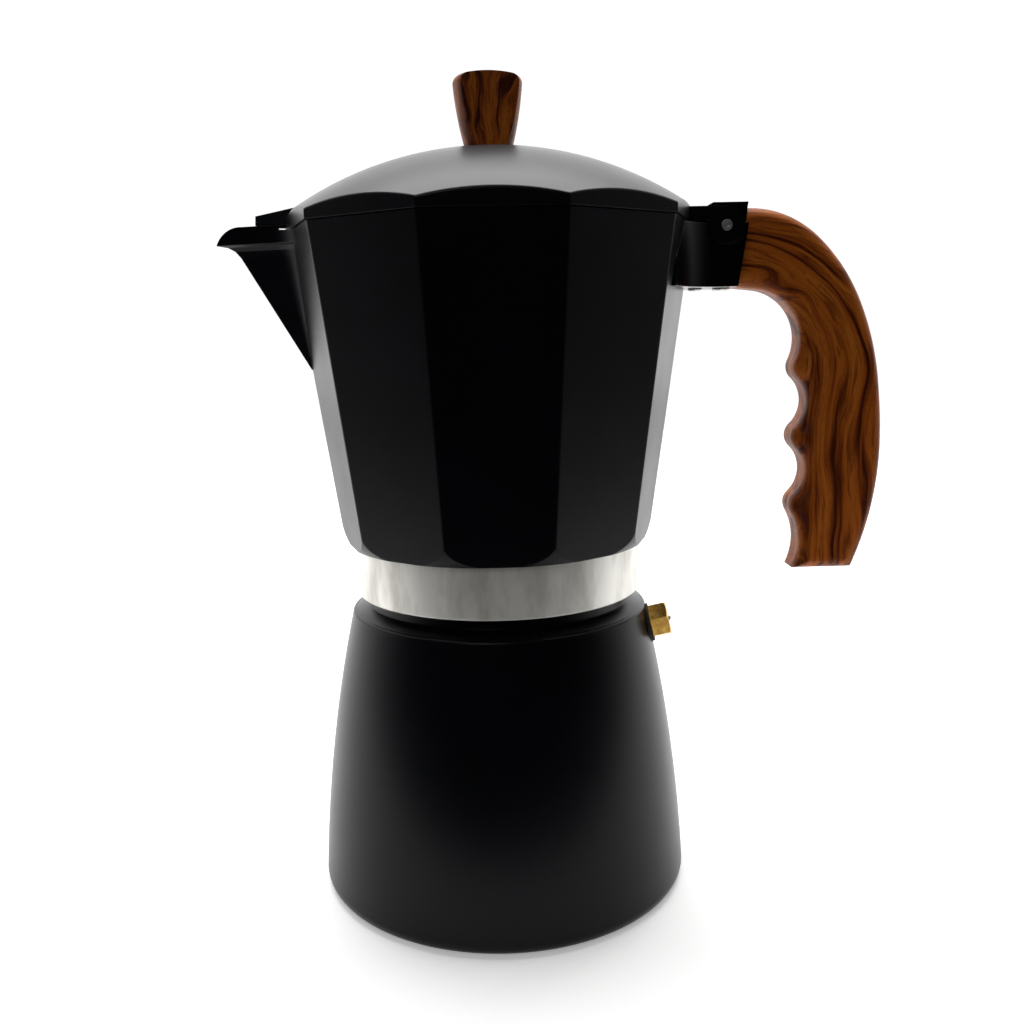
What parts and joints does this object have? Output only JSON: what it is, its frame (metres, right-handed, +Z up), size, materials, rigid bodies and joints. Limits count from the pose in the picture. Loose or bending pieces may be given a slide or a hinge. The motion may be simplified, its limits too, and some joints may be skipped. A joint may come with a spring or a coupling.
{
  "type": "moka pot",
  "caption": "Stove-top moka pot with a ten-sided lidded upper vessel, V spout, finger-grooved handle, screw collar, funnel, filter plate and safety valve on a bell-shaped boiler.",
  "frame": {"origin": "centre of the boiler's flat base, on the surface it stands on", "axes": "+Z up along the pot's axis, +X towards the handle, -X towards the spout, +Y right-handed"},
  "size_m": [0.2118, 0.1234, 0.2605],
  "materials": {
    "coated_aluminium": "satin black coating on cast aluminium",
    "bare_aluminium": "polished bare cast aluminium",
    "funnel_aluminium": "satin spun aluminium",
    "stainless_steel": "brushed stainless steel",
    "valve_brass": "machined brass",
    "gasket_silicone": "white silicone",
    "washer_fibre": "dark fibre",
    "handle_wood": "dark red-brown wood grain, satin lacquer",
    "bracket_plastic": "black heat-resistant plastic"
  },
  "bodies": {
    "base": {"boiler": "coated_aluminium", "valve_body": "valve_brass", "valve_washer": "washer_fibre", "valve_seat": "valve_brass", "relief_spring": "stainless_steel"},
    "relief": {"relief_pin": "stainless_steel"},
    "funnel": {"funnel": "funnel_aluminium", "funnel_sieve": "funnel_aluminium"},
    "gasket": {"gasket": "gasket_silicone"},
    "plate": {"filter_plate": "funnel_aluminium"},
    "top": {"vessel": "coated_aluminium", "collar_ring": "bare_aluminium", "riser_column": "funnel_aluminium", "hinge_bracket": "bracket_plastic", "bracket_screw": "stainless_steel", "handle": "handle_wood", "handle_screw": "stainless_steel", "handle_insert": "valve_brass", "hinge_pin": "stainless_steel"},
    "lid": {"lid": "coated_aluminium", "knob": "handle_wood", "knob_washer": "stainless_steel", "knob_screw": "stainless_steel", "knob_insert": "valve_brass"}
  },
  "joints": [
    {"name": "relief_slide", "type": "slide", "parent": "base", "child": "relief", "axis": [0.9604, -0.1521, 0.2334], "range_m": [0, 0.0015], "stiffness_N_per_m": 900, "springref_m": -0.0015, "deforming": ["relief_spring"]},
    {"name": "funnel_lift", "type": "slide", "parent": "base", "child": "funnel", "axis": [0, 0, 1], "range_m": [0, 0.115]},
    {"name": "top_lift", "type": "slide", "parent": "funnel", "child": "gasket", "axis": [0, 0, 1], "range_m": [0, 0.08]},
    {"name": "top_rise", "type": "slide", "parent": "gasket", "child": "plate", "axis": [0, 0, 1], "range_m": [0, 0.008]},
    {"name": "top_turn", "type": "hinge", "parent": "plate", "child": "top", "pos_m": [0, 0, 0.1154], "axis": [0, 0, 1], "range_deg": [0, 720]},
    {"name": "lid_open", "type": "hinge", "parent": "top", "child": "lid", "pos_m": [0.0723, 0, 0.2126], "axis": [0, 1, 0], "range_deg": [0, 95]}
  ],
  "couplings": [
    {"joint": "top_rise", "follows": "top_turn", "m_per_rad": 0.00063662}
  ]
}
